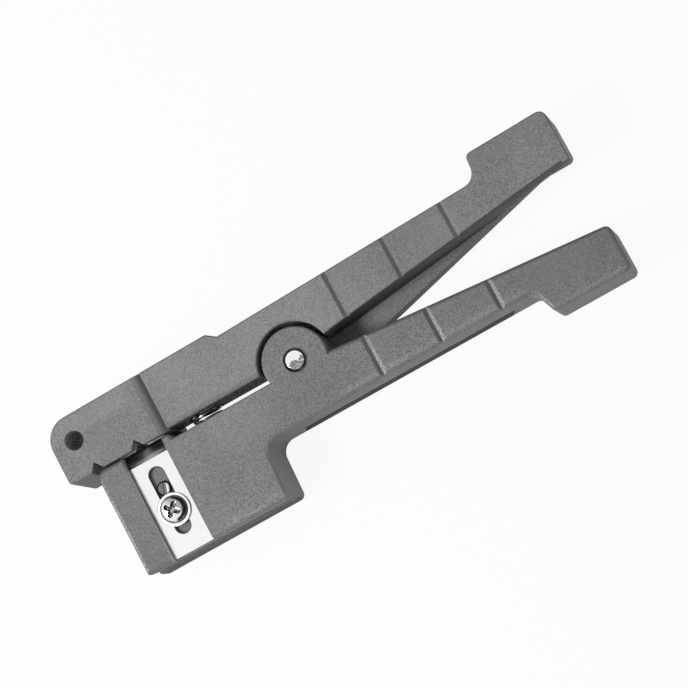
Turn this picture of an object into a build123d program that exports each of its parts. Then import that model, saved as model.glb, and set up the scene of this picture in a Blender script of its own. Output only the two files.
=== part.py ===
"""A cable jacket stripper: a spring-closed clamp arm hinged on a body that holds a blade.

The tool lies on its side. The origin is on the pivot axis at the bench face, +X runs
towards the handles, +Y towards the clamp arm, and +Z up along the pivot axis, towards
the near face. All sizes are in millimetres.
"""

import os
from math import atan2, cos, degrees, pi, radians, sin, tan

from build123d import *

os.makedirs("parts", exist_ok=True)

# Overall layers: the arm's tongue laps behind the body's boss in the lower layer.
thickness = 18.5
lap_height = 6.0
lap_gap = 0.2
edge_round = 0.5
soft_round = 1.2

# Pivot: a riveted pin, the body's boss and the arm's disc behind it.
pin_radius = 2.1
pin_clearance = 0.04
pin_head_radius = 3.6
pin_head_height = 1.3
pin_recess_radius = 2.75
pin_recess_depth = 1.6
pin_end_round = 0.5
boss_radius = 8.0
boss_gap = 1.1
disc_radius = 9.6
disc_gap = 0.4

# Squeezing the handles turns the arm by this angle, in degrees.
squeeze_angle = 12.5

# Body: front block with the blade channel, and the lower handle behind the pivot.
body_front = -54.85
cheek_top = -0.2
cheek_round = 2.2
body_top = -1.9
step_x = -34.3
step_round = 1.6
block_bottom = -27.5
block_back = -16.2
block_back_top = -15.6
block_front_round = 0.5
block_back_round = 1.5
handle_bottom = -13.6
finger_round = 3.6
lower_tip_top = -8.2
lower_handle_tip = 78.85
tip_round = 1.6
lower_pad_front = 56.3
lower_pad_corner = 58.6
lower_pad_bottom = -19.85
pad_round = 1.4
pad_fillet = 2.4
draft_top = 16.5
draft_foot = 7.0
draft_ledge = 6.2
draft_depth = 0.75

# Clamp arm: head, panel and upper handle.
head_front = -61.55
head_top = 15.3
head_drop = 0.95
head_round = 6.0
jaw_gap = 0.4
jaw_round = 0.8
valley_x = -34.3
valley_width = 2.6
valley_depth = 1.1
panel_top = 15.75
panel_end = -16.2
panel_underside = 0.7
panel_drop = 1.75
panel_slope_run = 2.4
upper_handle_top = 15.9
upper_handle_tip = 78.5
upper_pad_front = 57.0
upper_pad_corner = 57.7
upper_pad_top = 22.3
upper_pad_tip_top = 22.8
upper_pad_fillet = 3.4
upper_tip_round = 2.0
flange_start = 2.1
flange_tip = 9.9
flange_end_x = 76.4
tip_wall_bottom = 9.3
tip_wall_round = 0.7
far_underside = 2.65
tongue_drop = -6.75
tongue_angle = 14.24
far_tip_underside = 11.15
underside_rise = 1.1
underside_rise_x = 46.0
touch = 0.02

# V-notches that hold the cable, and the lanyard hole.
notch_half_width = 1.7
notch_depth = 2.2
front_notch_x = -53.9
blade_notch_offset = 0.5
lanyard_x = -55.7
lanyard_y = 9.15
lanyard_radius = 2.4

# Grip grooves across both handles.
groove_count = 3
groove_spacing = 15.75
upper_groove_x = 15.8
lower_groove_x = 16.9
groove_width = 1.9
groove_depth = 0.6

# Blade, its slot and its channel.
blade_x = -42.4
blade_width = 10.6
blade_length = 27.0
blade_thickness = 1.0
blade_edge_y = -0.1
bevel_length = 3.1
bevel_land = 0.12
blade_side_gap = 0.27
channel_depth = 3.8
slot_width = 4.0
slot_length = 17.0
slot_top_y = -5.5
blade_travel_up = 1.2
blade_relief_gap = 0.4

# Blade screw, washer, threaded insert and guide pin.
screw_y = -16.5
screw_shank_radius = 1.72
screw_length = 10.0
screw_head_radius = 3.2
screw_head_height = 2.1
screw_dome_round = 1.3
screw_recess_radius = 1.5
screw_recess_width = 0.9
screw_recess_depth = 1.1
washer_radius = 4.1
washer_thickness = 0.7
washer_hole_gap = 0.12
insert_radius = 2.7
insert_length = 6.5
thread_gap = 0.05
guide_pin_y = -10.9
guide_pin_radius = 1.75
guide_pin_depth = 6.0
guide_pin_chamfer = 0.35

# Clamp spring: an extension spring in a bore through both pieces, on two cross pins.
spring_x = -26.0
spring_z = 10.0
spring_radius = 3.55
wire_radius = 0.45
spring_pitch = 1.5
spring_turns = 8
spring_top_y = 5.0
spring_bore_gap = 0.7
spring_pin_radius = 1.0
spring_pin_length = 16.0
wire_bend_radius = 0.9
wire_sides = 6
hook_gap = 0.06

# Places worked out from the sizes above.
boss_recess_radius = boss_radius + boss_gap
tongue_end_x = (far_tip_underside - tongue_drop) / tan(radians(tongue_angle))
jaw_underside = cheek_top + jaw_gap
channel_floor = thickness - channel_depth
past_tip_x = upper_handle_tip + soft_round
blade_top = channel_floor + blade_thickness
blade_bottom_y = blade_edge_y - blade_length
channel_width = blade_width + 2 * blade_side_gap
blade_notch_x = blade_x - blade_notch_offset
spring_bottom_y = spring_top_y - spring_pitch * spring_turns
coil_slope = atan2(spring_pitch, 2 * pi * spring_radius)
top_loop_y = spring_top_y + wire_bend_radius * cos(coil_slope)
bottom_loop_y = spring_bottom_y - wire_bend_radius * cos(coil_slope)
loop_shift = wire_bend_radius * (1 - sin(coil_slope))
hook_radius = spring_radius - wire_radius - spring_pin_radius - hook_gap
arm_pin_y = top_loop_y + hook_radius
body_pin_y = bottom_loop_y - hook_radius
spring_bore_radius = spring_radius + wire_radius + spring_bore_gap
hook_end = spring_radius + wire_radius + spring_bore_gap / 2
washer_bottom = blade_top
screw_head_bottom = washer_bottom + washer_thickness


def outline(*corners):
    """Draw one closed outline through corners given as (x, y, rounding radius)."""
    points = [(x, y) for x, y, _ in corners]
    radii = [radius for _, _, radius in corners]
    FilletPolyline(*points, radius=radii, close=True)


def tongue_y(x):
    """Height of the arm tongue's lower edge at x."""
    return tongue_drop + x * tan(radians(tongue_angle))


def flange_y(x):
    """Height of the upper handle's lower edge at x, on the near face."""
    slope = (flange_tip - flange_start) / (flange_end_x - boss_recess_radius)
    return flange_start + (x - boss_recess_radius) * slope


def lower_handle_line():
    """Slope of the lower handle's top edge, and its height above the pivot."""
    slope = (lower_tip_top - body_top) / (lower_handle_tip - boss_radius)
    return slope, body_top - slope * boss_radius


def squeezed_tongue_line():
    """Slope and height at the pivot of the lap's floor, under the tongue at full squeeze."""
    slope = tan(radians(tongue_angle - squeeze_angle))
    reach = -tongue_drop * cos(radians(tongue_angle)) + disc_gap
    return slope, -reach / cos(radians(tongue_angle - squeeze_angle))


def across(x, y):
    """A plane at the near face, square to Y, whose own Y runs down into the part."""
    return Plane(origin=(x, y, thickness), x_dir=(1, 0, 0), z_dir=(0, 1, 0))


def along_y(x, y, z):
    """A plane square to +Y through a point."""
    return Plane(origin=(x, y, z), x_dir=(1, 0, 0), z_dir=(0, 1, 0))


def grip_grooves(first_x, low_y, high_y):
    """Cut the row of V-grooves across one handle's near face."""
    for index in range(groove_count):
        with BuildSketch(across(first_x + index * groove_spacing, low_y)) as groove:
            with BuildLine():
                Polyline(
                    (-groove_width / 2, -edge_round),
                    (-groove_width / 2, 0),
                    (0, groove_depth),
                    (groove_width / 2, 0),
                    (groove_width / 2, -edge_round),
                    close=True,
                )
            make_face()
        extrude(groove.sketch, amount=high_y - low_y, mode=Mode.SUBTRACT)


def head_section(height, bottom):
    """Sketch the front of the head, down to a bottom, at a height above the bench."""
    back = front_notch_x - notch_half_width
    with BuildSketch(Plane.XY.offset(height)) as section:
        with BuildLine():
            outline(
                (head_front, bottom, jaw_round),
                (head_front, lanyard_y, 0),
                (back, lanyard_y, 0),
                (back, bottom, 0),
            )
        make_face()
    return section.sketch


def wire_bend(point, way):
    """Turn the spring wire from the coil's slope to run along Y, up (1) or down (-1)."""
    with BuildLine(Plane(origin=point, x_dir=(0, 1, 0), z_dir=(1, 0, 0))) as bend:
        JernArc(
            start=(0, 0),
            tangent=(way * sin(coil_slope), -way * cos(coil_slope)),
            radius=wire_bend_radius,
            arc_size=90 - degrees(coil_slope),
        )
    return bend.edge()


# Blade body: front block, boss and lower handle in one moulding.
with BuildPart() as blade_body:
    with BuildSketch():
        with BuildLine():
            outline(
                (body_front, block_bottom, block_front_round),
                (body_front, cheek_top, cheek_round),
                (step_x, cheek_top, step_round),
                (step_x, body_top, 0),
                (boss_radius, body_top, 0),
                (lower_handle_tip, lower_tip_top, tip_round),
                (lower_handle_tip, lower_pad_bottom, tip_round),
                (lower_pad_corner, lower_pad_bottom, pad_round),
                (lower_pad_front, handle_bottom, pad_fillet),
                (block_back_top, handle_bottom, finger_round),
                (block_back, block_bottom, block_back_round),
            )
        make_face()
        Circle(boss_radius)
    extrude(amount=thickness)
    near_edges = blade_body.faces().sort_by(Axis.Z)[-1].outer_wire().edges()
    fillet(near_edges.filter_by(lambda edge: edge.center().Y < handle_bottom / 2), soft_round)
    near_edges = blade_body.faces().sort_by(Axis.Z)[-1].outer_wire().edges()
    fillet(near_edges.filter_by(lambda edge: edge.center().Y > handle_bottom / 2), edge_round)

    # The lap: room for the arm's disc and for its tongue at full squeeze.
    top_slope, top_height = lower_handle_line()
    floor_slope, floor_height = squeezed_tongue_line()
    relief_end = (top_height - floor_height) / (floor_slope - top_slope)
    with BuildSketch():
        Circle(disc_radius + disc_gap)
        with BuildLine():
            Polyline(
                (0, floor_height),
                (relief_end, floor_height + floor_slope * relief_end),
                (0, disc_radius),
                close=True,
            )
        make_face()
    extrude(amount=lap_height + lap_gap, mode=Mode.SUBTRACT)

    # Blade channel, open at both ends, with the screw insert's seat and guide pin hole.
    with BuildSketch(Plane.XY.offset(channel_floor)):
        with Locations((blade_x, (cheek_top + block_bottom) / 2)):
            Rectangle(channel_width, cheek_top - block_bottom + 2 * touch)
    extrude(amount=channel_depth + touch, mode=Mode.SUBTRACT)
    with BuildSketch(Plane.XY.offset(channel_floor)):
        with Locations((blade_x, screw_y)):
            Circle(insert_radius)
        with Locations((blade_x, guide_pin_y)):
            Circle(guide_pin_radius)
    extrude(amount=-insert_length, mode=Mode.SUBTRACT)
    with BuildSketch(Plane.XY.offset(channel_floor)):
        with Locations((blade_x, screw_y)):
            Circle(screw_shank_radius + thread_gap)
    extrude(amount=-screw_length, mode=Mode.SUBTRACT)

    # Pivot bore with the recess round the pin's riveted end.
    with BuildSketch():
        Circle(pin_radius + pin_clearance)
    extrude(amount=thickness, mode=Mode.SUBTRACT)
    with BuildSketch(Plane.XY.offset(thickness)):
        Circle(pin_recess_radius)
    extrude(amount=-pin_recess_depth, mode=Mode.SUBTRACT)

    # Spring bore down from the top edge, and the cross pin's blind hole.
    with BuildSketch(along_y(spring_x, body_pin_y - hook_end, spring_z)):
        Circle(spring_bore_radius)
    extrude(amount=body_top - body_pin_y + hook_end, mode=Mode.SUBTRACT)
    with BuildSketch():
        with Locations((spring_x, body_pin_y)):
            Circle(spring_pin_radius)
    extrude(amount=spring_pin_length, mode=Mode.SUBTRACT)

    # The block's underside drafts inwards down to a ledge at the parting.
    with BuildSketch(Plane.YZ.offset(body_front)):
        with BuildLine():
            Polyline(
                (block_bottom - touch, draft_top),
                (block_bottom + draft_depth, draft_foot),
                (block_bottom - touch, draft_ledge),
                close=True,
            )
        make_face()
    extrude(amount=block_back - body_front, mode=Mode.SUBTRACT)

    grip_grooves(lower_groove_x, handle_bottom - pad_round, body_top)

# Clamp arm: head with the V-notches, panel, upper handle, and the tongue behind.
with BuildPart() as clamp_arm:
    top_left = (head_front, head_top, head_round)
    top_run = (
        (panel_end, panel_top, 0),
        (panel_end + panel_slope_run, panel_top - panel_drop, 0),
        (upper_pad_front, upper_handle_top, upper_pad_fillet),
        (upper_pad_corner, upper_pad_top, pad_round),
        (upper_handle_tip, upper_pad_tip_top, upper_tip_round),
    )
    with BuildSketch(Plane.XY.offset(lap_height)):
        with BuildLine():
            outline(
                (head_front, jaw_underside, jaw_round),
                top_left,
                *top_run,
                (upper_handle_tip, tip_wall_bottom, tip_wall_round),
                (flange_end_x, tip_wall_bottom, 0),
                (flange_end_x, flange_tip, 0),
                (boss_recess_radius, flange_start, 0),
                (0, panel_underside, 0),
                (valley_x, panel_underside, 0),
                (valley_x, jaw_underside, 0),
            )
        make_face()
        Circle(boss_recess_radius, mode=Mode.SUBTRACT)
    extrude(amount=thickness - lap_height)
    fillet(clamp_arm.faces().sort_by(Axis.Z)[-1].outer_wire().edges(), edge_round)
    with BuildSketch():
        with BuildLine():
            outline(
                (head_front, jaw_underside, jaw_round),
                top_left,
                *top_run,
                (upper_handle_tip, far_tip_underside, pad_round),
                (tongue_end_x, far_tip_underside, 0),
                (boss_radius, tongue_y(boss_radius), 0),
                (0, far_underside, 0),
                (valley_x, far_underside, 0),
                (valley_x, jaw_underside, 0),
            )
        make_face()
        Circle(disc_radius)
    extrude(amount=lap_height)

    # The head's underside in front of the notches slopes down to the far side.
    far_section = head_section(0, jaw_underside - head_drop)
    near_section = head_section(thickness - edge_round, jaw_underside)
    loft([far_section, near_section], ruled=True)

    # The handle's underside rises towards the far side near the tip.
    with BuildSketch(Plane.XY.offset(lap_height)):
        with BuildLine():
            Polyline(
                (underside_rise_x, flange_y(underside_rise_x) - underside_rise),
                (past_tip_x, tip_wall_bottom - underside_rise),
                (past_tip_x, flange_y(upper_handle_tip) + underside_rise),
                (underside_rise_x, flange_y(underside_rise_x)),
                close=True,
            )
        make_face()
    with BuildSketch(Plane.XY.offset(thickness)):
        with BuildLine():
            Polyline(
                (underside_rise_x, flange_y(underside_rise_x) - underside_rise),
                (past_tip_x, tip_wall_bottom - underside_rise),
                (past_tip_x, tip_wall_bottom),
                (underside_rise_x, flange_y(underside_rise_x) - touch),
                close=True,
            )
        make_face()
    loft(ruled=True, mode=Mode.SUBTRACT)

    # V-notches through the jaw, and the slot above the blade's edge.
    with BuildSketch():
        for notch_x in (front_notch_x, blade_notch_x):
            with BuildLine():
                Polyline(
                    (notch_x - notch_half_width, jaw_underside - jaw_gap),
                    (notch_x - notch_half_width, jaw_underside),
                    (notch_x, jaw_underside + notch_depth),
                    (notch_x + notch_half_width, jaw_underside),
                    (notch_x + notch_half_width, jaw_underside - jaw_gap),
                    close=True,
                )
            make_face()
    extrude(amount=thickness, mode=Mode.SUBTRACT)
    relief_top = blade_edge_y + blade_travel_up + blade_relief_gap
    relief_width = channel_width + blade_relief_gap
    with BuildSketch(Plane.XY.offset(channel_floor - blade_relief_gap)):
        with Locations((blade_x, relief_top)):
            Rectangle(relief_width, 2 * relief_top, align=(Align.CENTER, Align.MAX))
    extrude(amount=blade_thickness + 2 * blade_relief_gap, mode=Mode.SUBTRACT)

    # Valley between head and panel.
    with BuildSketch(across(valley_x, jaw_underside - jaw_gap)):
        with BuildLine():
            Polyline(
                (-valley_width, -edge_round),
                (-valley_width, 0),
                (0, valley_depth),
                (0, -edge_round),
                close=True,
            )
        make_face()
    extrude(amount=panel_top + jaw_gap, mode=Mode.SUBTRACT)

    # Lanyard hole.
    with BuildSketch():
        with Locations((lanyard_x, lanyard_y)):
            Circle(lanyard_radius)
    extrude(amount=thickness, mode=Mode.SUBTRACT)

    # Pivot bore and the seat for the pin's head.
    with BuildSketch():
        Circle(pin_radius + pin_clearance)
    extrude(amount=lap_height, mode=Mode.SUBTRACT)
    with BuildSketch():
        Circle(pin_head_radius + pin_clearance)
    extrude(amount=pin_head_height + lap_gap, mode=Mode.SUBTRACT)

    # Spring bore up from the underside, and the cross pin's blind hole.
    with BuildSketch(along_y(spring_x, jaw_underside, spring_z)):
        Circle(spring_bore_radius)
    extrude(amount=arm_pin_y + hook_end - jaw_underside, mode=Mode.SUBTRACT)
    with BuildSketch():
        with Locations((spring_x, arm_pin_y)):
            Circle(spring_pin_radius)
    extrude(amount=spring_pin_length, mode=Mode.SUBTRACT)

    grip_grooves(upper_groove_x, flange_start, upper_handle_top + edge_round)

# Pivot pin: head at the far side, riveted end in the recess of the near face.
with BuildPart() as pivot_pin:
    with BuildSketch(Plane.XY.offset(lap_gap)):
        Circle(pin_head_radius)
    extrude(amount=pin_head_height - lap_gap / 2)
    with BuildSketch(Plane.XY.offset(lap_gap)):
        Circle(pin_radius)
    extrude(amount=thickness)
    fillet(pivot_pin.faces().sort_by(Axis.Z)[-1].edges(), pin_end_round)

# Blade: ground bevel at the top edge, long slot for the guide pin and screw.
with BuildPart() as blade:
    with BuildSketch(Plane.XY.offset(channel_floor)):
        with Locations((blade_x, (blade_edge_y + blade_bottom_y) / 2)):
            Rectangle(blade_width, blade_length)
        with Locations((blade_x, slot_top_y - slot_length / 2)):
            SlotOverall(slot_length, slot_width, rotation=90, mode=Mode.SUBTRACT)
    extrude(amount=blade_thickness)
    edge_up = blade.edges().filter_by(Axis.X).group_by(Axis.Y)[-1].sort_by(Axis.Z)[-1]
    chamfer(edge_up, blade_thickness - bevel_land, bevel_length)

# Washer under the screw head.
with BuildPart() as blade_washer:
    with BuildSketch(Plane.XY.offset(washer_bottom)):
        with Locations((blade_x, screw_y)):
            Circle(washer_radius)
            Circle(screw_shank_radius + washer_hole_gap, mode=Mode.SUBTRACT)
    extrude(amount=washer_thickness)

# Blade screw: domed head with a cross recess, plain shank where the thread runs.
with BuildPart() as blade_screw:
    with BuildSketch(Plane.XY.offset(screw_head_bottom)):
        with Locations((blade_x, screw_y)):
            Circle(screw_head_radius)
    extrude(amount=screw_head_height)
    fillet(blade_screw.faces().sort_by(Axis.Z)[-1].edges(), screw_dome_round)
    with BuildSketch(Plane.XY.offset(screw_head_bottom)):
        with Locations((blade_x, screw_y)):
            Circle(screw_shank_radius)
    extrude(amount=-screw_length)
    with BuildSketch(Plane.XY.offset(screw_head_bottom + screw_head_height)):
        with Locations((blade_x, screw_y)):
            Rectangle(2 * screw_recess_radius, screw_recess_width)
            Rectangle(screw_recess_width, 2 * screw_recess_radius)
    extrude(amount=-screw_recess_depth, mode=Mode.SUBTRACT)

# Threaded insert that the screw turns in.
with BuildPart() as screw_insert:
    with BuildSketch(Plane.XY.offset(channel_floor)):
        with Locations((blade_x, screw_y)):
            Circle(insert_radius)
            Circle(screw_shank_radius + thread_gap, mode=Mode.SUBTRACT)
    extrude(amount=-insert_length)

# Guide pin that keeps the blade straight in its channel.
with BuildPart() as guide_pin:
    with BuildSketch(Plane.XY.offset(channel_floor - guide_pin_depth)):
        with Locations((blade_x, guide_pin_y)):
            Circle(guide_pin_radius)
    extrude(amount=guide_pin_depth + blade_thickness)
    chamfer(guide_pin.faces().sort_by(Axis.Z)[-1].edges(), guide_pin_chamfer)

# Cross pins that the spring hooks over.
spring_pins = {}
for pin_name, pin_y in (("arm_spring_pin", arm_pin_y), ("body_spring_pin", body_pin_y)):
    with BuildPart() as spring_pin:
        with BuildSketch():
            with Locations((spring_x, pin_y)):
                Circle(spring_pin_radius)
        extrude(amount=spring_pin_length)
    spring_pins[pin_name] = spring_pin.part

# Clamp spring: a coil along Y whose wire bends into a half loop at each end.
coil = Helix(spring_pitch, spring_pitch * spring_turns, spring_radius, direction=(0, 1, 0))
coil = Pos(spring_x, spring_bottom_y, spring_z) * Rot(0, 90, 0) * coil
top_bend = wire_bend(coil @ 1, 1)
bottom_bend = wire_bend(coil @ 0, -1)
top_loop = CenterArc((spring_x, top_loop_y), spring_radius, 0, 180)
top_loop = Pos(0, 0, spring_z - loop_shift) * top_loop
bottom_loop = CenterArc((spring_x, bottom_loop_y), spring_radius, 0, -180)
bottom_loop = Pos(0, 0, spring_z + loop_shift) * bottom_loop
spring_wire = Wire([bottom_loop, bottom_bend, coil, top_bend, top_loop])
with BuildPart() as clamp_spring:
    with BuildSketch(Plane(origin=spring_wire @ 0, z_dir=spring_wire % 0)):
        RegularPolygon(wire_radius, wire_sides)
    sweep(path=spring_wire, is_frenet=True)

pieces = {
    "blade_body": blade_body.part,
    "clamp_arm": clamp_arm.part,
    "pivot_pin": pivot_pin.part,
    "blade": blade.part,
    "blade_washer": blade_washer.part,
    "blade_screw": blade_screw.part,
    "screw_insert": screw_insert.part,
    "guide_pin": guide_pin.part,
    "clamp_spring": clamp_spring.part,
    **spring_pins,
}
for name, piece in pieces.items():
    piece.label = name
    export_step(piece, f"parts/{name}.step")
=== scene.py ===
"""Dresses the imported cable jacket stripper: finishes for its mouldings and metal parts, and
the spring, screw, washer and pin ends that need a finer shape than the solids have.
Lengths are in metres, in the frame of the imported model."""

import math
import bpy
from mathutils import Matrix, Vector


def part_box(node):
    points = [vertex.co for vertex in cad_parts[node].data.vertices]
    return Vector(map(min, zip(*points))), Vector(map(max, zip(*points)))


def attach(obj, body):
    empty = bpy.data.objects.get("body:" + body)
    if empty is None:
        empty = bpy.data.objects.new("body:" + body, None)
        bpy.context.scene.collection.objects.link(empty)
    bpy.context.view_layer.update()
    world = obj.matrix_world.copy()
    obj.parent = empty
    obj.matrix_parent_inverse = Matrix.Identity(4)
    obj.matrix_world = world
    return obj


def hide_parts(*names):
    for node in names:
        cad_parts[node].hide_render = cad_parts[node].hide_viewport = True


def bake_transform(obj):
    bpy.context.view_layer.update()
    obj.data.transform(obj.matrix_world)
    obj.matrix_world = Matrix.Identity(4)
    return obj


bl_info = {
    "name": "Cable Jacket Stripper",
    "version": (1, 0, 0),
    "blender": (4, 5, 0),
    "location": "3D View > Sidebar > Stripper",
    "description": "Finishes, spring, screw and stage for a cable jacket stripper",
    "category": "Object",
}

import bmesh
import bpy
from mathutils import Matrix, Vector

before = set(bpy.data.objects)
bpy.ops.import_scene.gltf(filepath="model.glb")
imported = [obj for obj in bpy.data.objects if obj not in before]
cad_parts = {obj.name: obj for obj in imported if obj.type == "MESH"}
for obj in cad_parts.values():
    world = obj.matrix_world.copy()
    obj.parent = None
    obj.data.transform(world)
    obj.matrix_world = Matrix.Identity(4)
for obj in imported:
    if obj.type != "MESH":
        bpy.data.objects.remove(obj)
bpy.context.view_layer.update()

MM = 0.001
TURN = 2 * math.pi

# Heights above the far side, and the centre of the lanyard hole, as the solids have them.
NEAR_FACE = 18.5 * MM
LAP_HEIGHT = 6.0 * MM
LANYARD = Vector((-55.7 * MM, 9.15 * MM, 0.0))

# Levels of painted shade and painted light that marks give to the plastic, as shares of
# its own colour. It also turns dull where a mark is darker than DULL_LEVEL.
SHADED = 0.3
LIT = 2.4
DULL_LEVEL = 0.15

WHITE = (1.0, 1.0, 1.0, 1.0)
BRASS = (0.62, 0.44, 0.18, 1.0)

# Angles between faces above which the shading turns sharp.
CREASE = math.radians(35.0)
SCREW_CREASE = math.radians(28.0)

# Steps round the screw and washer, the rivet, the wire, a turn of the coil, a hook, the
# bend between them, the dome of the screw and each round end of its recess.
ROUND_STEPS = 72
RIVET_STEPS = 64
WIRE_STEPS = 14
COIL_STEPS = 36
HOOK_STEPS = 18
BEND_STEPS = 6
DOME_STEPS = 12
RECESS_STEPS = 8


def middle(node):
    """Centre of a solid's box."""
    low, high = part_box(node)
    return (low + high) / 2


class Socket:
    """An output of a node. Sums and products on it add Math nodes."""

    def __init__(self, nodes, output):
        self.nodes = nodes
        self.output = output

    def maths(self, operation, first, second=0.0):
        """A Math node on two values, which may be sockets or numbers."""
        settings = {"operation": operation}
        return self.nodes.node("ShaderNodeMath", settings, {0: first, 1: second})

    def __add__(self, other):
        return self.maths("ADD", self, other)

    def __radd__(self, other):
        return self.maths("ADD", other, self)

    def __sub__(self, other):
        return self.maths("SUBTRACT", self, other)

    def __rsub__(self, other):
        return self.maths("SUBTRACT", other, self)

    def __mul__(self, other):
        return self.maths("MULTIPLY", self, other)

    def __rmul__(self, other):
        return self.maths("MULTIPLY", other, self)

    def power(self, exponent):
        """This value raised to an exponent."""
        return self.maths("POWER", self, exponent)

    def absolute(self):
        """This value without its sign."""
        return self.maths("ABSOLUTE", self)

    def larger(self, other):
        """The larger of two values."""
        return self.maths("MAXIMUM", self, other)

    def rise(self, start, end):
        """A smooth step from 0 at start to 1 at end."""
        settings = {"interpolation_type": "SMOOTHSTEP"}
        limits = {"Value": self, "From Min": start, "From Max": end}
        return self.nodes.node("ShaderNodeMapRange", settings, limits)

    def band(self, start, end, soft):
        """1 between start and end, falling to 0 over the soft width outside them."""
        return self.rise(start - soft, start) * (1 - self.rise(end, end + soft))


class Nodes:
    """The nodes of a material or of the world."""

    def __init__(self, owner):
        owner.use_nodes = True
        self.tree = owner.node_tree
        self.tree.nodes.clear()

    def node(self, kind, settings=None, values=None, output=0):
        """Add a node, set it up, fill or link its inputs, and return one of its outputs."""
        node = self.tree.nodes.new(kind)
        for name, setting in (settings or {}).items():
            setattr(node, name, setting)
        for key, value in (values or {}).items():
            if isinstance(value, Socket):
                self.tree.links.new(value.output, node.inputs[key])
            else:
                node.inputs[key].default_value = value
        return Socket(self, node.outputs[output]) if node.outputs else None

    def seen_by(self, *kinds):
        """1 for rays of the given kinds, and 0 for all others."""
        seen = 0.0
        for kind in kinds:
            ray = self.node("ShaderNodeLightPath", output=f"Is {kind} Ray")
            seen = ray.larger(seen)
        return seen


class Finish(Nodes):
    """A material built from nodes, with the place and the direction of its surface."""

    def __init__(self, name):
        self.material = bpy.data.materials.new(name)
        super().__init__(self.material)
        self.place = self.node("ShaderNodeTexCoord", output="Object")
        self.normal = self.node("ShaderNodeTexCoord", output="Normal")
        self.x, self.y, self.z = [
            self.node("ShaderNodeSeparateXYZ", None, {0: self.place}, axis) for axis in range(3)
        ]

    def facing(self, x, y, z):
        """How far the surface faces a direction, from -1 to 1."""
        settings = {"operation": "DOT_PRODUCT"}
        values = {0: self.normal, 1: Vector((x, y, z)).normalized()}
        return self.node("ShaderNodeVectorMath", settings, values, output=1)

    def radius(self, centre):
        """Distance from the upright line through a centre."""
        x, y = self.x - centre.x, self.y - centre.y
        return (x * x + y * y).power(0.5)

    def noise(self, scale, detail=2.0, roughness=0.5, place=None):
        """Fractal noise around 0.5 with the given number of features per metre."""
        values = {
            "Vector": place or self.place,
            "Scale": scale,
            "Detail": detail,
            "Roughness": roughness,
        }
        return self.node("ShaderNodeTexNoise", None, values)

    def stretched(self, x, y, z):
        """The place scaled by its own factor along each axis."""
        settings = {"operation": "MULTIPLY"}
        return self.node("ShaderNodeVectorMath", settings, {0: self.place, 1: (x, y, z)})

    def blend_colours(self, factor, first, second):
        """A colour between two colours."""
        settings = {"data_type": "RGBA"}
        values = {0: factor, 6: first, 7: second}
        return self.node("ShaderNodeMix", settings, values, output=2)

    def bump(self, height, depth):
        """A normal that follows a height, with depth metres for a height of 1."""
        values = {"Height": height, "Distance": depth, "Strength": 1.0}
        return self.node("ShaderNodeBump", None, values)

    def close(self, **inputs):
        """Finish with a Principled shader. Underscores stand for spaces in its inputs."""
        values = {name.replace("_", " "): value for name, value in inputs.items()}
        shader = self.node("ShaderNodeBsdfPrincipled", None, values)
        self.node("ShaderNodeOutputMaterial", None, {"Surface": shader})
        return self.material


def grey(level):
    """A neutral colour."""
    return (level, level, level, 1.0)


def tinted(colour, share):
    """A colour made lighter or darker by a share."""
    return tuple(lit_channel_wall * share for lit_channel_wall in colour[:3]) + (1.0,)


def moulded_plastic(name, colour, speckle, marks):
    """Grey glass-filled plastic with a spark-eroded grain, painted glints, and marks of painted
    shade and painted light.
    """
    finish = Finish(name)
    grain = finish.noise(1 / speckle, 2.0, 0.6)
    specks = finish.noise(1.5 / speckle, 1.0, 0.5)
    cloud = finish.noise(48.0, 3.0, 0.55)
    rubbed_and_glinting = finish.noise(30.0, 3.0, 0.55).rise(0.46, 0.66)
    glint = specks.rise(0.58, 0.80)

    # The grain shows more at the front than on the handles, and most where it is rubbed.
    contrast = 1.9 - finish.x.rise(15 * MM, 50 * MM) * 0.7
    tone = (grain - 0.5) * (contrast + rubbed_and_glinting * 0.9) + (cloud - 0.5) * 0.5
    # Bright specks are painted glints, brightest in the rubbed patches.
    tone = tone + glint * (0.15 + rubbed_and_glinting * 0.5) + 0.44
    base = finish.blend_colours(tone, tinted(colour, 0.5), tinted(colour, 1.5))

    dulled = 0.0
    for share, level in marks(finish, grain):
        base = finish.blend_colours(share, base, tinted(colour, level))
        if level < DULL_LEVEL:
            dulled = share * 0.4 + dulled
    rough = 0.48 + grain * 0.25 + dulled
    relief = finish.bump(grain + specks * 0.5, 0.05 * MM)
    return finish.close(
        Base_Color=base, Roughness=rough, Normal=relief, Specular_IOR_Level=0.22
    )


def near_side(finish):
    """The near faces of a moulding."""
    return finish.facing(0, 0, 1).rise(0.9, 0.98)


def groove_walls(finish):
    """The left and the right walls of the grip grooves, as two shares."""
    left = finish.facing(0.53, 0, 0.85).rise(0.95, 0.99)
    right = finish.facing(-0.53, 0, 0.85).rise(0.95, 0.99)
    return left, right


def shaded_rim(finish):
    """Painted shade on the rounded near edges at the front and on the side of the clamp arm."""
    front = 1 - finish.x.rise(-52 * MM, -50 * MM)
    left = finish.facing(-1, 0, 0).rise(0.15, 0.55) * front
    above = finish.facing(0, 1, 0).rise(0.15, 0.55)
    return finish.z.rise(17.3 * MM, 17.7 * MM) * left.larger(above)


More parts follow.
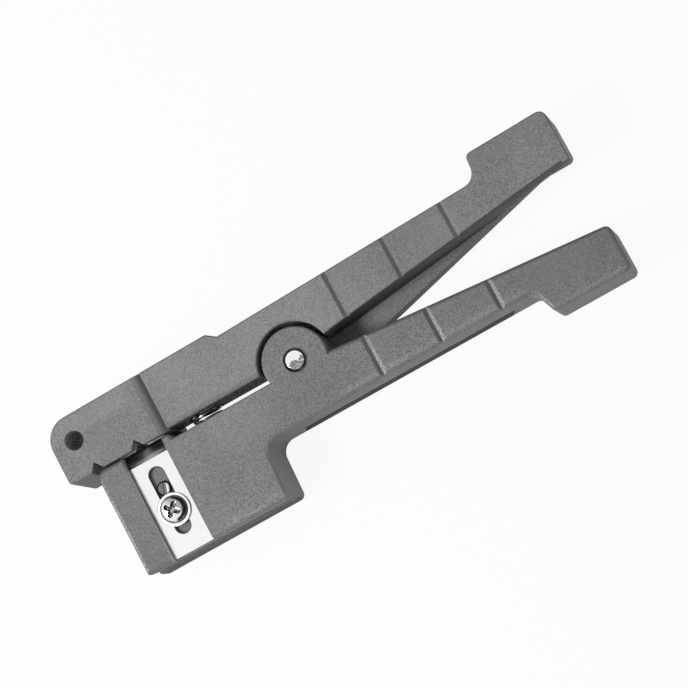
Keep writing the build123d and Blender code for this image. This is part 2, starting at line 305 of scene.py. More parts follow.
def parting_strip_shade(finish):
    """Painted shade on the ragged strip low on the undersides of the handle and the block,
    below the parting line, darkest in a line near its upper edge.
    """
    shaded_underside = finish.facing(0, -1, 0).rise(0.6, 0.9)
    # The upper edge wanders by coarse and fine noise, and the ends lean with the height.
    ragged = finish.z + (finish.noise(260.0, 2.0, 0.5) - 0.5) * (1.3 * MM)
    ragged = ragged + (finish.noise(1300.0, 1.0, 0.5) - 0.5) * (0.9 * MM)
    slant = finish.x - finish.z * 0.24
    handle = slant.band(-8.5 * MM, 48.0 * MM, 0.3 * MM)
    handle = handle * (1 - ragged.rise(6.9 * MM, 7.1 * MM))
    block = 1 - finish.x.rise(-17.0 * MM, -15.5 * MM)
    block = block * (1 - ragged.rise(6.3 * MM, 6.6 * MM))
    # A darker line of painted shade near the strip's upper edge.
    line = ragged.band(5.8 * MM, 6.7 * MM, 0.25 * MM)
    return shaded_underside * handle.larger(block * 0.7) * (0.75 + line * 0.25)


def worn_edge_highlights(finish, grain, near):
    """Lighter lines along the near edges of the lower handle, its pad and the block: painted
    highlights, patchy like wear.
    """
    x, y = finish.x, finish.y
    patches = finish.noise(140.0, 2.0, 0.5).rise(0.40, 0.62)
    handle = y.band(-13.1 * MM, -12.2 * MM, 1.2 * MM) * x.band(9 * MM, 52 * MM, 4 * MM)
    pad = y.band(-19.3 * MM, -18.7 * MM, 0.5 * MM) * x.band(59 * MM, 77 * MM, 1 * MM)
    block = (1 - y.rise(-26.6 * MM, -23.6 * MM)) * x.band(-36 * MM, -18 * MM, 2 * MM)
    edge_highlight = handle.larger(pad) * (patches * 0.3 + 0.7)
    return edge_highlight.larger(block * patches) * near * grain.rise(0.25, 0.7)


def pin_recess(finish, grain, near):
    """Painted shadow in the recess round the riveted pin, wider on the right, and a painted
    highlight round its edge.
    """
    pin = middle("pivot_pin")
    ring = finish.radius(pin + Vector((0.16, -0.10, 0)) * MM)
    ring = ring.band(2.6 * MM, 3.0 * MM, 0.06 * MM) * near * 0.9
    recess_edge_highlight = finish.radius(pin).band(3.15 * MM, 3.3 * MM, 0.15 * MM) * near
    return ring, recess_edge_highlight * grain.rise(0.4, 0.6)


def body_marks(finish, grain):
    """Painted shade and painted light on the body, in order: how much of each shows at a point,
    and its level.
    """
    x, y = finish.x, finish.y
    near = near_side(finish)
    front = 1 - x.rise(-50 * MM, -40 * MM)
    painted_light_pool = x.band(-24 * MM, -13 * MM, 5 * MM) * y.rise(-16 * MM, -8 * MM) * near
    lit_back_rim = finish.facing(0.8, 0, 0.6).rise(0.7, 0.95)
    lit_back_rim = lit_back_rim * x.band(-18 * MM, -15.4 * MM, 0.3 * MM)
    ring, recess_edge_highlight = pin_recess(finish, grain, near)
    left, right = groove_walls(finish)
    left = left * (1 - x.rise(55 * MM, 57 * MM))
    right = right * grain.rise(0.35, 0.6) * (1 - y.rise(-12 * MM, -3 * MM) * 0.55)
    lit_channel_wall = finish.facing(1, 0, 0).rise(0.9, 0.98)
    lit_channel_wall = lit_channel_wall * x.band(-48.6 * MM, -47.4 * MM, 0.2 * MM)
    return (
        # Painted shade at the front end, a painted pool of light on the near face, painted
        # highlights along the near edges, the parting strip's painted shade and a painted
        # highlight on the block's back rim.
        (front * 0.12, SHADED),
        (painted_light_pool * 0.09, LIT),
        (worn_edge_highlights(finish, grain, near) * 0.6, 1.9),
        (parting_strip_shade(finish), 0.1),
        (lit_back_rim * 0.3, LIT),
        # Painted shade on the rims, a painted shadow in the pin's recess with a painted
        # highlight round it, painted shade on the grooves' left walls, painted highlights on
        # their right walls, and painted light on the blade channel's wall.
        (shaded_rim(finish) * 0.5, SHADED),
        (ring, SHADED),
        (recess_edge_highlight * 0.3, 2.0),
        (left * 0.5, SHADED),
        (right * 0.9, LIT),
        (lit_channel_wall, LIT),
    )


def head_marks(finish, near):
    """Masks for the clamp arm's front: painted shade on the head, its side and end, the
    valley's slope behind the notches and the panel's foot, and painted light on the brow and
    the blade's relief slot."""
    x, y, z = finish.x, finish.y, finish.z
    head = 1 - x.rise(-52 * MM, -36 * MM)
    brow = (1 - x.rise(-42 * MM, -37 * MM)) * y.band(11.5 * MM, 14.8 * MM, 2.5 * MM) * near
    side = finish.facing(-0.7, -0.7, 0).rise(0.3, 0.8) * (1 - x.rise(-36 * MM, -34 * MM))
    end = finish.facing(-1, 0, 0).rise(0.8, 0.95) * (1 - x.rise(-58 * MM, -56 * MM))
    relief = x.band(-48.3 * MM, -36.5 * MM, 0.1 * MM) * (1 - y.rise(1.6 * MM, 1.8 * MM))
    relief = relief * (1 - z.rise(15.9 * MM, 16.1 * MM))
    slope = finish.facing(0.39, 0, 0.92).rise(0.96, 0.99)
    slope = slope * x.band(-36.9 * MM, -34.0 * MM, 0.2 * MM)
    slope = slope * x.rise(-36.4 * MM, -35.0 * MM)
    foot = (1 - y.rise(0.7 * MM, 2.4 * MM)) * x.band(-34 * MM, -9 * MM, 0.2 * MM) * near
    return head, brow, side, end, relief, slope, foot


def arm_marks(finish, _):
    """Painted shade and painted light on the clamp arm, in order: how much of each shows at a
    point, and its level.
    """
    x, z = finish.x, finish.z
    near = near_side(finish)
    painted_light_pool = x.band(-28 * MM, 24 * MM, 9 * MM) * near
    # Painted shade on the upper handle's undersides: slight below the lap height, deep above it
    # and deepest towards the tip.
    below = finish.facing(0.15, -1, 0).rise(0.7, 0.95) * x.rise(8 * MM, 12 * MM)
    lap = z.rise(LAP_HEIGHT - 0.2 * MM, LAP_HEIGHT + 0.2 * MM)
    shaded_underside = below * (lap * (0.55 + x.rise(36 * MM, 56 * MM) * 0.3) + 0.12)
    left, _ = groove_walls(finish)
    groove = left * x.rise(0, 5 * MM)
    # Painted light inside the lanyard hole.
    hole = 1 - finish.radius(LANYARD).rise(2.42 * MM, 2.5 * MM)
    head, brow, side, end, relief, slope, foot = head_marks(finish, near)
    return (
        # Painted pools of light on the near face and the brow; painted shade on the panel's
        # foot, the rims, the head, the undersides and the head's side and end.
        (painted_light_pool * 0.1, 2.6),
        (brow * 0.12, 2.6),
        (foot * 0.5, SHADED),
        (shaded_rim(finish) * 0.5, SHADED),
        (head * 0.14, SHADED),
        (shaded_underside, 0.2),
        (side * 0.36, SHADED),
        (end * 0.3, SHADED),
        # Painted light in the blade's relief slot, painted shade on the valley's slope and the
        # grooves' left walls, and painted light inside the lanyard hole.
        (relief * 0.9, LIT),
        (slope * 0.8, SHADED),
        (groove * 0.38, SHADED),
        (hole, 1.5),
    )


def ground_steel(colour, low, high, bevel_length):
    """Blade steel with fine grinding lines, a painted dark reflection and painted highlight
    streaks on the honed bevel, and painted shade round the slot's edge.
    """
    finish = Finish("ground_steel")
    lines = finish.noise(1.0, 3.0, 0.6, finish.stretched(600.0, 16000.0, 600.0))
    cloud = finish.noise(180.0)
    tone = (lines - 0.5) * 1.2 + (cloud - 0.5) * 0.6 + 0.5
    plain = finish.blend_colours(tone, tinted(colour, 0.93), tinted(colour, 1.05))

    # Painted dark reflection on the honed bevel, lit by painted highlight streaks along the
    # edge.
    highlight_streaks = finish.noise(1.0, 2.0, 0.5, finish.stretched(110.0, 620.0, 110.0))
    highlight_streaks = highlight_streaks.rise(0.42, 0.72)
    honed_dark_reflection = finish.blend_colours(highlight_streaks, tinted(colour, 0.07), tinted(colour, 0.42))
    bevel_foot = high.y - bevel_length
    bevel = finish.y.rise(bevel_foot - 0.1 * MM, bevel_foot)
    base = finish.blend_colours(bevel, plain, honed_dark_reflection)

    # Painted shade in a band round the slot's edge.
    slot_centre, half_straight = -14.0 * MM, 6.7 * MM
    across = finish.x - (low.x + high.x) / 2
    along = ((finish.y - slot_centre).absolute() - half_straight).larger(0.0)
    edge = 1 - (across * across + along * along).power(0.5).rise(2.05 * MM, 2.16 * MM)
    base = finish.blend_colours(edge, base, tinted(colour, 0.12))

    rough = 0.09 + lines * 0.04 + bevel * 0.14
    relief = finish.bump(lines, 0.001 * MM)
    return finish.close(Base_Color=base, Metallic=1.0, Roughness=rough, Normal=relief)


def bright_steel(name, colour, scuffs, dullness, patches=0.0):
    """Plated steel with faint scuffs, and painted dark reflections in patches of the given
    share.
    """
    finish = Finish(name)
    fine = finish.noise(2600.0, 3.0, 0.6)
    broad = finish.noise(520.0, 2.0, 0.5)
    tone = (fine - 0.5) * 0.8 + (broad - 0.5) * 1.4 + 0.5
    base = finish.blend_colours(tone, tinted(colour, 1 - scuffs), tinted(colour, 1.08))
    # Patches of painted dark reflection.
    dark = finish.noise(620.0, 1.0, 0.5).rise(0.44, 0.50) * patches
    base = finish.blend_colours(dark, base, tinted(colour, 0.08))
    rough = dullness + broad * 0.16
    relief = finish.bump(broad * 0.7 + fine * 0.3, 0.02 * MM * scuffs)
    return finish.close(Base_Color=base, Metallic=1.0, Roughness=rough, Normal=relief)


def screw_steel(colour, centre, top, reach):
    """Plated steel with painted shade towards the right, painted dark reflections on the head's
    sides and right shoulder, and painted shade in its recess.
    """
    finish = Finish("screw_steel")
    upward = finish.facing(0, 0, 1)
    scuffs = finish.noise(900.0, 3.0, 0.6)
    # Painted shade that deepens towards the right of the head.
    aside = ((finish.x - centre.x) * 0.9 + (finish.y - centre.y) * 0.45) * (1 / reach)
    shaded = (aside + (scuffs - 0.5) * 1.2).rise(-0.2, 0.7) * 0.75
    plain = finish.blend_colours(scuffs, tinted(colour, 0.92), tinted(colour, 1.18))
    plain = finish.blend_colours(shaded, plain, tinted(colour, 0.30))

    # Painted dark reflections on the head's sides and its shoulders, darkest on the right one.
    sides = 1 - upward.rise(0.25, 0.50)
    shoulder = upward.band(0.50, 0.84, 0.07) * finish.facing(1, -0.2, 0).rise(0.0, 0.2)
    far_shoulder = upward.band(0.52, 0.62, 0.04) * 0.6
    dark = sides.larger(shoulder).larger(far_shoulder)
    base = finish.blend_colours(dark, plain, tinted(colour, 0.03))

    # Painted shade in the recess: mottled on its floor and darkest on its walls.
    patches = finish.noise(1700.0, 2.0, 0.6).rise(0.46, 0.60)
    patchy = finish.blend_colours(patches, tinted(colour, 0.05), tinted(colour, 0.5))
    inside = 1 - finish.radius(centre).rise(reach, reach + 0.1 * MM)
    pit = inside * (1 - finish.z.rise(top - 0.5 * MM, top - 0.3 * MM))
    walls = inside * (1 - upward.rise(0.60, 0.85))
    base = finish.blend_colours(pit, base, patchy)
    base = finish.blend_colours(walls, base, tinted(colour, 0.02))
    relief = finish.bump(scuffs, 0.01 * MM)
    return finish.close(Base_Color=base, Metallic=1.0, Roughness=0.12, Normal=relief)


def washer_steel(colour, centre, head_radius):
    """Plated steel, with a painted shadow in a ring close round the screw head and a painted
    dark reflection on the right of its rim.
    """
    finish = Finish("washer_steel")
    distance = finish.radius(centre)
    scuffs = finish.noise(700.0, 2.0, 0.5)
    head_shadow = 1 - distance.rise(head_radius + 0.12 * MM, head_radius + 0.34 * MM)
    rim = (1 - finish.facing(0, 0, 1).rise(0.2, 0.6)) * finish.facing(1, -0.3, 0).rise(0.0, 0.5)
    plain = finish.blend_colours(scuffs, tinted(colour, 1.0), tinted(colour, 1.12))
    base = finish.blend_colours(head_shadow.larger(rim), plain, tinted(colour, 0.10))
    return finish.close(Base_Color=base, Metallic=1.0, Roughness=0.32)


def rivet_steel(colour):
    """Steel hammered over, with dents, bright and darker in patches towards one side."""
    finish = Finish("rivet_steel")
    dents = finish.noise(430.0, 3.0, 0.6)
    fine = finish.noise(1700.0, 2.0, 0.6)
    downward = (finish.x * 0.15 - finish.y) * 120.0
    mark = (dents + downward + (fine - 0.5) * 0.35).rise(0.50, 0.60) * (0.3 + fine)
    base = finish.blend_colours(mark, tinted(colour, 1.06), tinted(colour, 0.16))
    relief = finish.bump(dents, 0.05 * MM)
    return finish.close(Base_Color=base, Metallic=1.0, Roughness=0.12, Normal=relief)


def guide_steel(colour, centre, radius):
    """Dark steel whose end has a painted highlight in one bright band, beside a fine dark line.
    """
    finish = Finish("guide_steel")
    across = (finish.x - centre.x) * 0.95 - (finish.y - centre.y) * 0.3
    across = across * (1 / radius)
    painted_highlight_band = across.band(0.40, 0.66, 0.06)
    line = across.band(-0.06, 0.02, 0.05)
    scuffs = finish.noise(800.0, 2.0, 0.5)
    plain = finish.blend_colours(scuffs, tinted(colour, 0.12), tinted(colour, 0.32))
    marked = finish.blend_colours(line, plain, tinted(colour, 0.06))
    base = finish.blend_colours(painted_highlight_band, marked, tinted(colour, 0.95))
    return finish.close(Base_Color=base, Metallic=1.0, Roughness=0.14)


def smooth(mesh, crease):
    """Shade a mesh smooth, apart from edges sharper than the crease angle."""
    mesh.shade_smooth()
    mesh.set_sharp_from_angle(angle=crease)


def put(name, mesh):
    """An object with a mesh, in the scene."""
    piece = bpy.data.objects.new(name, mesh)
    bpy.context.scene.collection.objects.link(piece)
    return piece


def add_piece(name, mesh, material):
    """Put a finished mesh in the scene with its material and smooth shading."""
    mesh.materials.append(material)
    smooth(mesh, CREASE)
    return put(name, mesh)


def to_mesh(name, shape):
    """A mesh of a shape, with its faces turned outwards."""
    bmesh.ops.recalc_face_normals(shape, faces=shape.faces)
    mesh = bpy.data.meshes.new(name)
    shape.to_mesh(mesh)
    shape.free()
    return mesh


def on_circle(radius, angle, height):
    """A point on a circle about the vertical axis."""
    return Vector((radius * math.cos(angle), radius * math.sin(angle), height))


def turned(name, outline, centre, steps):
    """A solid turned about a vertical axis from (radius, height) points, axis to axis."""
    shape = bmesh.new()
    rings = []
    for radius, height in outline:
        ring = []
        for step in range(steps if radius else 1):
            spot = on_circle(radius, TURN * step / steps, height)
            ring.append(shape.verts.new(centre + spot))
        rings.append(ring)
    pairs = list(zip(rings, rings[1:]))
    if outline[0][0] != 0:
        pairs.append((rings[-1], rings[0]))
    for lower, upper in pairs:
        for step in range(steps):
            after = (step + 1) % steps
            corners = [
                lower[step % len(lower)],
                lower[after % len(lower)],
                upper[after % len(upper)],
                upper[step % len(upper)],
            ]
            shape.faces.new(list(dict.fromkeys(corners)))
    return to_mesh(name, shape)


def arc(centre_r, centre_z, radius, start, end, steps):
    """Points of an arc in an outline, from a start to an end angle in degrees."""
    points = []
    for step in range(steps + 1):
        angle = math.radians(start + (end - start) * step / steps)
        spot = (centre_r + radius * math.cos(angle), centre_z + radius * math.sin(angle))
        points.append(spot)
    return points


def carve(piece, cutter):
    """Cut one mesh out of another for good, and drop the cutter."""
    change = piece.modifiers.new("cut", "BOOLEAN")
    change.operation = "DIFFERENCE"
    change.solver = "EXACT"
    change.object = cutter
    graph = bpy.context.evaluated_depsgraph_get()
    result = bpy.data.meshes.new_from_object(piece.evaluated_get(graph))
    piece.modifiers.clear()
    piece.data = result
    bpy.data.objects.remove(cutter)


def tube(name, path, radius, sides):
    """A round wire that follows a path, closed at both ends."""
    shape = bmesh.new()
    rings = []
    across = None
    for index, point in enumerate(path):
        ahead = path[min(index + 1, len(path) - 1)] - path[max(index - 1, 0)]
        ahead.normalize()
        if across is None:
            across = ahead.orthogonal().normalized()
        across = (across - ahead * across.dot(ahead)).normalized()
        other = ahead.cross(across)
        ring = []
        for side in range(sides):
            angle = TURN * side / sides
            offset = across * math.cos(angle) + other * math.sin(angle)
            ring.append(shape.verts.new(point + offset * radius))
        rings.append(ring)
    for lower, upper in zip(rings, rings[1:]):
        for side in range(sides):
            after = (side + 1) % sides
            shape.faces.new((lower[side], lower[after], upper[after], upper[side]))
    shape.faces.new(list(reversed(rings[0])))
    shape.faces.new(rings[-1])
    return to_mesh(name, shape)


class StripperMouldings(bpy.types.PropertyGroup):
    """Sizes and colour of the mouldings' finish."""

    colour: bpy.props.FloatVectorProperty(
        name="Plastic colour",
        description="Colour of the body and the clamp arm",
        subtype="COLOR",
        size=4,
        default=(0.196, 0.196, 0.197, 1.0),
    )
    speckle: bpy.props.FloatProperty(
        name="Grain size",
        description="Distance between the grains of the moulded surface",
        subtype="DISTANCE",
        default=0.34 * MM,
    )


class StripperBlade(bpy.types.PropertyGroup):
    """Sizes and colour of the blade's finish."""

    colour: bpy.props.FloatVectorProperty(
        name="Blade colour",
        description="Colour of the ground steel",
        subtype="COLOR",
        size=4,
        default=(0.88, 0.88, 0.90, 1.0),
    )
    bevel: bpy.props.FloatProperty(
        name="Bevel length",
        description="Length of the honed bevel behind the edge",
        subtype="DISTANCE",
        default=3.1 * MM,
    )


class StripperSpring(bpy.types.PropertyGroup):
    """Sizes and colour of the clamp spring."""

    colour: bpy.props.FloatVectorProperty(
        name="Spring colour",
        description="Colour of the spring wire and of its cross pins",
        subtype="COLOR",
        size=4,
        default=(0.82, 0.81, 0.80, 1.0),
    )
    wire: bpy.props.FloatProperty(
        name="Wire radius",
        description="Radius of the spring wire",
        subtype="DISTANCE",
        default=0.5 * MM,
    )
    turns: bpy.props.IntProperty(
        name="Turns", description="Turns of the coil between its hooks", default=8
    )
    bend: bpy.props.FloatProperty(
        name="Bend radius",
        description="Radius of the bend between the coil and each hook",
        subtype="DISTANCE",
        default=0.9 * MM,
    )


class StripperScrew(bpy.types.PropertyGroup):
    """Sizes and colour of the blade screw and its washer."""

    colour: bpy.props.FloatVectorProperty(
        name="Screw colour",
        description="Colour of the plated screw, washer and pin ends",
        subtype="COLOR",
        size=4,
        default=(0.80, 0.80, 0.79, 1.0),
    )
    head_radius: bpy.props.FloatProperty(
        name="Head radius",
        description="Radius of the screw head",
        subtype="DISTANCE",
        default=3.2 * MM,
    )
    head_height: bpy.props.FloatProperty(
        name="Head height",
        description="Height of the screw head above the washer",
        subtype="DISTANCE",
        default=2.1 * MM,
    )
    recess_reach: bpy.props.FloatProperty(
        name="Recess reach",
        description="Distance from the axis to the end of each arm of the recess",
        subtype="DISTANCE",
        default=2.3 * MM,
    )
    recess_depth: bpy.props.FloatProperty(
        name="Recess depth",
        description="Depth of the cross recess",
        subtype="DISTANCE",
        default=1.0 * MM,
    )


class StripperStage(bpy.types.PropertyGroup):
    """The camera, the lamp and the sky."""

    lens: bpy.props.FloatProperty(
        name="Lens", description="Focal length in millimetres", default=141.28
    )
    camera_place: bpy.props.FloatVectorProperty(
        name="Camera place",
        description="Where the camera stands",
        subtype="XYZ",
        unit="LENGTH",
        default=(102.33 * MM, -95.07 * MM, 631.5 * MM),
    )
    camera_aim: bpy.props.FloatVectorProperty(
        name="Camera aim",
        description="Point of the near face that the camera looks at",
        subtype="XYZ",
        unit="LENGTH",
        default=(12.05 * MM, -2.44 * MM, NEAR_FACE),
    )
    camera_right: bpy.props.FloatVectorProperty(
        name="Camera right",
        description="Direction that runs to the right in the picture",
        subtype="XYZ",
        default=(0.86197, -0.46691, -0.19750),
    )
    sky: bpy.props.FloatProperty(
        name="Sky", description="Strength of the even light from all sides", default=0.45
    )
    key: bpy.props.FloatProperty(
        name="Key", description="Power of the main lamp in watts", default=1.55
    )
    key_size: bpy.props.FloatProperty(
        name="Key size",
        description="Width of the round main lamp",
        subtype="DISTANCE",
        default=0.14,
    )
    key_place: bpy.props.FloatVectorProperty(
        name="Key place",
        description="Where the main lamp hangs, turned towards the pivot",
        subtype="XYZ",
        unit="LENGTH",
        default=(-0.29, -0.03, 0.40),
    )


class StripperSettings(bpy.types.PropertyGroup):
    """All settings of the stripper, by piece."""

    mouldings: bpy.props.PointerProperty(type=StripperMouldings)
    blade: bpy.props.PointerProperty(type=StripperBlade)
    spring: bpy.props.PointerProperty(type=StripperSpring)
    screw: bpy.props.PointerProperty(type=StripperScrew)
    stage: bpy.props.PointerProperty(type=StripperStage)


def dress(node, material):
    """Give a solid a better finish in its own material slot."""
    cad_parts[node].data.materials[0] = material


class STRIPPER_OT_mouldings(bpy.types.Operator):
    """Give the body and the clamp arm their moulded grain, painted glints, and painted shade
    and light
    """

    bl_idname = "stripper.mouldings"
    bl_label = "Finish Mouldings"

    def execute(self, context):
        sizes = context.scene.stripper.mouldings
        body, speckle = tuple(sizes.colour), sizes.speckle
        arm = tinted(body, 1.10)
        dress("blade_body", moulded_plastic("body_plastic", body, speckle, body_marks))
        dress("clamp_arm", moulded_plastic("arm_plastic", arm, speckle, arm_marks))
        return {"FINISHED"}


class STRIPPER_OT_blade(bpy.types.Operator):
    """Give the blade its ground face, and its honed bevel a painted dark reflection"""

    bl_idname = "stripper.blade"
    bl_label = "Finish Blade"

    def execute(self, context):
        sizes = context.scene.stripper.blade
        low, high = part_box("blade")
        dress("blade", ground_steel(tuple(sizes.colour), low, high, sizes.bevel))
        return {"FINISHED"}


class STRIPPER_OT_spring(bpy.types.Operator):
    """Wind the clamp spring, which stretches as the arm opens, and finish its pins"""

    bl_idname = "stripper.spring"
    bl_label = "Wind Spring"

    def execute(self, context):
        sizes = context.scene.stripper.spring
        # The wire and its pins get painted dark reflections in patches, with a share of 0.9.
        steel = bright_steel("spring_steel", tuple(sizes.colour), 0.3, 0.26, 0.9)
        low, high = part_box("clamp_spring")
        centre = middle("clamp_spring")
        radius = (high.x - low.x) / 2 - sizes.wire
        hook = sizes.bend + radius + sizes.wire
        bottom, top = low.y + hook, high.y - hook
        shift = Vector((centre.x, 0, centre.z))
        path = [point + shift for point in self.centre_line(sizes, radius, bottom, top)]
        mesh = tube("spring_coil", path, sizes.wire, WIRE_STEPS)
        coil = add_piece("spring_coil", mesh, steel)
        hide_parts("clamp_spring")
        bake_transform(coil)
        for node in ("arm_spring_pin", "body_spring_pin"):
            dress(node, steel)
        return {"FINISHED"}

    def centre_line(self, sizes, radius, bottom, top):
        """The line of the wire: the coil about Y, with the same hook at both its ends."""
        hook = []
        for step in range(1, BEND_STEPS):
            angle = math.pi / 2 * step / BEND_STEPS
            along, inward = 1 - math.cos(angle), math.sin(angle)
            hook.append((radius, sizes.bend * along, -sizes.bend * inward))
        for step in range(HOOK_STEPS + 1):
            x, y, z = on_circle(radius, math.pi * step / HOOK_STEPS, -sizes.bend)
            hook.append((x, sizes.bend + y, z))

        path = [Vector((x, bottom - y, -z)) for x, y, z in reversed(hook)]
        count = sizes.turns * COIL_STEPS
        for step in range(count + 1):
            x, depth, along = on_circle(
                radius, TURN * step / COIL_STEPS, bottom + (top - bottom) * step / count
            )
            path.append(Vector((x, along, -depth)))
        return path + [Vector((x, top + y, z)) for x, y, z in hook]


class STRIPPER_OT_screw(bpy.types.Operator):
    """Turn the blade screw with its domed head and cross recess, and its washer"""

    bl_idname = "stripper.screw"
    bl_label = "Turn Screw"

    def execute(self, context):
        sizes = context.scene.stripper.screw
        self.washer(sizes)
        self.screw(sizes)
        return {"FINISHED"}

    def washer(self, sizes):
        """A stamped washer with a rolled upper rim."""
        low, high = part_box("blade_washer")
        centre = middle("blade_washer")
        steel = washer_steel(tuple(sizes.colour), centre, sizes.head_radius)
        centre.z = low.z
        outer = (high.x - low.x) / 2
        thick = high.z - low.z
        hole, rim = 1.84 * MM, thick * 0.45
        outline = [(hole, 0.0), (outer, 0.0)]
        outline += arc(outer - rim, thick - rim, rim, 0, 90, 6)
        outline += arc(hole + rim / 2, thick - rim / 2, rim / 2, 90, 180, 4)
        mesh = turned("washer_ring", outline, centre, ROUND_STEPS)
        ring = add_piece("washer_ring", mesh, steel)
        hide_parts("blade_washer")
        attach(ring, "washer")

    def screw(self, sizes):
        """The screw with its domed head, crossed by two slots."""
        low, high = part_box("blade_screw")
        centre = middle("blade_screw")
        steel = screw_steel(tuple(sizes.colour), centre, high.z, sizes.recess_reach)
        centre.z = low.z
        length = high.z - low.z
        seat = length - sizes.head_height
        shank, tip, edge = 1.72 * MM, 0.5 * MM, 0.15 * MM
        outline = [(0.0, 0.0), (shank * 0.7, 0.0), (shank, tip), (shank, seat)]
        outline += [(sizes.head_radius - edge, seat)]
        outline += arc(sizes.head_radius - edge, seat + edge, edge, -90, 0, 3)
        side = sizes.head_height * 0.35
        dome = sizes.head_height - side
        for step in range(DOME_STEPS):
            angle = math.pi / 2 * step / DOME_STEPS
            radius = sizes.head_radius * math.cos(angle) ** 0.62
            outline.append((radius, seat + side + dome * math.sin(angle) ** 1.15))
        outline += [(0.0, length)]
        mesh = turned("screw_solid", outline, centre, ROUND_STEPS)
        solid = add_piece("screw_solid", mesh, steel)
        first_slot = 0.8  # radians about the screw's axis
        for turn in (first_slot, first_slot + TURN / 4):
            carve(solid, self.recess(sizes, centre, high.z, turn))
        smooth(solid.data, SCREW_CREASE)
        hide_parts("blade_screw")
        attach(solid, "screw")

    def recess(self, sizes, centre, top, turn):
        """One slot of the cross recess, round at its ends and narrower at the bottom."""
        shape = bmesh.new()
        half_width, above = 0.74 * MM, 0.3 * MM
        straight = sizes.recess_reach - half_width
        ends = [(x + straight, y) for x, y in arc(0, 0, half_width, -90, 90, RECESS_STEPS)]
        ends += [(x - straight, y) for x, y in arc(0, 0, half_width, 90, 270, RECESS_STEPS)]
        upper, lower = [
            [shape.verts.new((x * along, y * across, height)) for x, y in ends]
            for height, along, across in ((above, 1.0, 1.0), (-sizes.recess_depth, 0.78, 0.6))
        ]
        shape.faces.new(upper)
        shape.faces.new(reversed(lower))
        for index in range(len(ends)):
            after = (index + 1) % len(ends)
            shape.faces.new((upper[index], lower[index], lower[after], upper[after]))
        place = Matrix.Translation((centre.x, centre.y, top))
        shape.transform(place @ Matrix.Rotation(turn, 4, "Z"))
        cutter = put("recess", to_mesh("recess", shape))
        bpy.context.view_layer.update()
        return cutter


class STRIPPER_OT_pins(bpy.types.Operator):
    """Finish the pivot pin, the guide pin and the threaded insert"""

    bl_idname = "stripper.pins"
    bl_label = "Finish Pins"

    def execute(self, context):
        colour = tuple(context.scene.stripper.screw.colour)
        self.rivet(rivet_steel(colour))
        low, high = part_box("guide_pin")
        radius = (high.x - low.x) / 2
        dress("guide_pin", guide_steel(colour, middle("guide_pin"), radius))
        dress("screw_insert", bright_steel("insert_brass", BRASS, 0.3, 0.3))
        return {"FINISHED"}

    def rivet(self, steel):
        """The pivot pin, spread over at its near end and headed at the far one."""
        low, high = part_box("pivot_pin")
        centre = middle("pivot_pin")
        centre.z = low.z
        length = high.z - low.z
        head_radius, head = (high.x - low.x) / 2, 1.25 * MM
        shank, spread, round_over = 2.1 * MM, 2.34 * MM, 0.45 * MM
        neck, flare = length - 1.45 * MM, 0.4 * MM
        outline = [(0.0, 0.0), (head_radius, 0.0), (head_radius, head), (shank, head)]
        outline += [(shank, neck), (spread, neck + flare)]
        outline += arc(spread - round_over, length - round_over, round_over, 0, 80, 6)
        outline += [(0.0, length)]
        mesh = turned("rivet", outline, centre, RIVET_STEPS)
        rivet = add_piece("rivet", mesh, steel)
        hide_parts("pivot_pin")
        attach(rivet, "body")


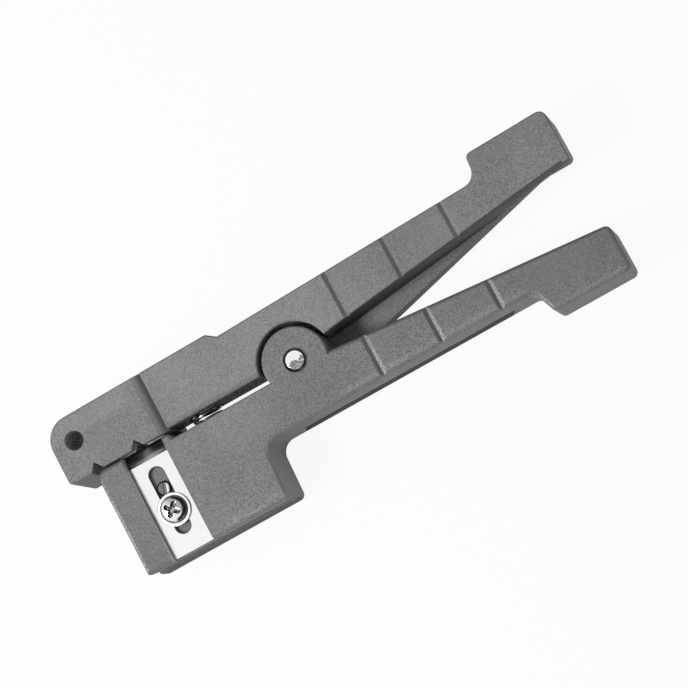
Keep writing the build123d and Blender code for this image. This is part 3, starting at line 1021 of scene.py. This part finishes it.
class STRIPPER_OT_stage(bpy.types.Operator):
    """Set up the camera, the sky, the soft lamp and the pale floor"""

    bl_idname = "stripper.stage"
    bl_label = "Set Up Stage"

    def execute(self, context):
        scene = context.scene
        settings = scene.stripper.stage
        self.camera(scene, settings)
        self.sky(scene, settings)
        self.lamp(scene, settings)
        self.floor()
        scene.view_settings.view_transform = "Standard"
        return {"FINISHED"}

    def camera(self, scene, settings):
        """A long lens above the near face."""
        lens = bpy.data.cameras.new("photo_camera")
        lens.lens = settings.lens
        lens.sensor_width = 36.0
        lens.clip_start, lens.clip_end = 0.01, 20.0
        camera = bpy.data.objects.new("photo_camera", lens)
        scene.collection.objects.link(camera)
        place = Vector(settings.camera_place)
        back = (place - Vector(settings.camera_aim)).normalized()
        right = Vector(settings.camera_right)
        right = (right - back * right.dot(back)).normalized()
        turn = Matrix((right, back.cross(right), back)).transposed()
        camera.matrix_world = Matrix.Translation(place) @ turn.to_4x4()
        scene.camera = camera

    def sky(self, scene, settings):
        """Even light, shown as white to the camera and in reflections."""
        world = bpy.data.worlds.new("soft_sky")
        scene.world = world
        nodes = Nodes(world)
        shown = nodes.seen_by("Camera", "Glossy", "Transmission")
        limits = {"Value": shown, "To Min": settings.sky, "To Max": 1.0}
        level = nodes.node("ShaderNodeMapRange", None, limits)
        values = {"Color": WHITE, "Strength": level}
        light = nodes.node("ShaderNodeBackground", None, values)
        nodes.node("ShaderNodeOutputWorld", None, {"Surface": light})

    def lamp(self, scene, settings):
        """One soft round lamp above the left end of the tool, turned towards it."""
        light = bpy.data.lights.new("key_lamp", "AREA")
        light.shape = "DISK"
        light.size = settings.key_size
        light.energy = settings.key
        lamp = bpy.data.objects.new("key_lamp", light)
        scene.collection.objects.link(lamp)
        place = Vector(settings.key_place)
        lamp.location = place
        lamp.rotation_mode = "QUATERNION"
        lamp.rotation_quaternion = place.to_track_quat("Z", "Y")

    def floor(self):
        """A white floor that keeps a faint shadow, and lets a camera below see the tool."""
        material = bpy.data.materials.new("white_floor")
        nodes = Nodes(material)
        glowing = nodes.seen_by("Camera", "Glossy") * 0.92
        paper = nodes.node("ShaderNodeBsdfDiffuse", None, {"Color": grey(0.8)})
        glow = nodes.node("ShaderNodeEmission", None, {"Color": WHITE})
        lit = nodes.node("ShaderNodeMixShader", None, {0: glowing, 1: paper, 2: glow})
        behind = nodes.node("ShaderNodeNewGeometry", output="Backfacing")
        clear = nodes.node("ShaderNodeBsdfTransparent")
        final = nodes.node("ShaderNodeMixShader", None, {0: behind, 1: lit, 2: clear})
        nodes.node("ShaderNodeOutputMaterial", None, {"Surface": final})
        half, drop = 3.0, 0.05 * MM
        corners = [(-half, -half, 0), (half, -half, 0), (half, half, 0), (-half, half, 0)]
        mesh = bpy.data.meshes.new("floor")
        mesh.from_pydata(corners, [], [(0, 1, 2, 3)])
        mesh.materials.append(material)
        floor = put("floor", mesh)
        floor.location.z = -drop


class STRIPPER_PT_panel(bpy.types.Panel):
    """Settings and build steps of the stripper"""

    bl_idname = "STRIPPER_PT_panel"
    bl_label = "Cable Jacket Stripper"
    bl_space_type = "VIEW_3D"
    bl_region_type = "UI"
    bl_category = "Stripper"

    def draw(self, context):
        settings = context.scene.stripper
        for group, step in STEPS:
            box = self.layout.box()
            box.operator(step.bl_idname)
            sizes = getattr(settings, group, None)
            if sizes:
                for name in sizes.__annotations__:
                    box.prop(sizes, name)


STEPS = (
    ("mouldings", STRIPPER_OT_mouldings),
    ("blade", STRIPPER_OT_blade),
    ("spring", STRIPPER_OT_spring),
    ("screw", STRIPPER_OT_screw),
    ("pins", STRIPPER_OT_pins),
    ("stage", STRIPPER_OT_stage),
)
GROUPS = (
    StripperMouldings,
    StripperBlade,
    StripperSpring,
    StripperScrew,
    StripperStage,
    StripperSettings,
)


def register():
    """Make the settings, the build steps and the panel known."""
    for group in GROUPS:
        bpy.utils.register_class(group)
    bpy.types.Scene.stripper = bpy.props.PointerProperty(type=StripperSettings)
    for _, step in STEPS:
        bpy.utils.register_class(step)
    bpy.utils.register_class(STRIPPER_PT_panel)


def unregister():
    """Take the panel, the build steps and the settings away again."""
    bpy.utils.unregister_class(STRIPPER_PT_panel)
    for _, step in reversed(STEPS):
        bpy.utils.unregister_class(step)
    del bpy.types.Scene.stripper
    for group in reversed(GROUPS):
        bpy.utils.unregister_class(group)


def main():
    """Run every build step."""
    register()
    bpy.ops.stripper.mouldings()
    bpy.ops.stripper.blade()
    bpy.ops.stripper.spring()
    bpy.ops.stripper.screw()
    bpy.ops.stripper.pins()
    bpy.ops.stripper.stage()


if __name__ == "__main__":
    main()
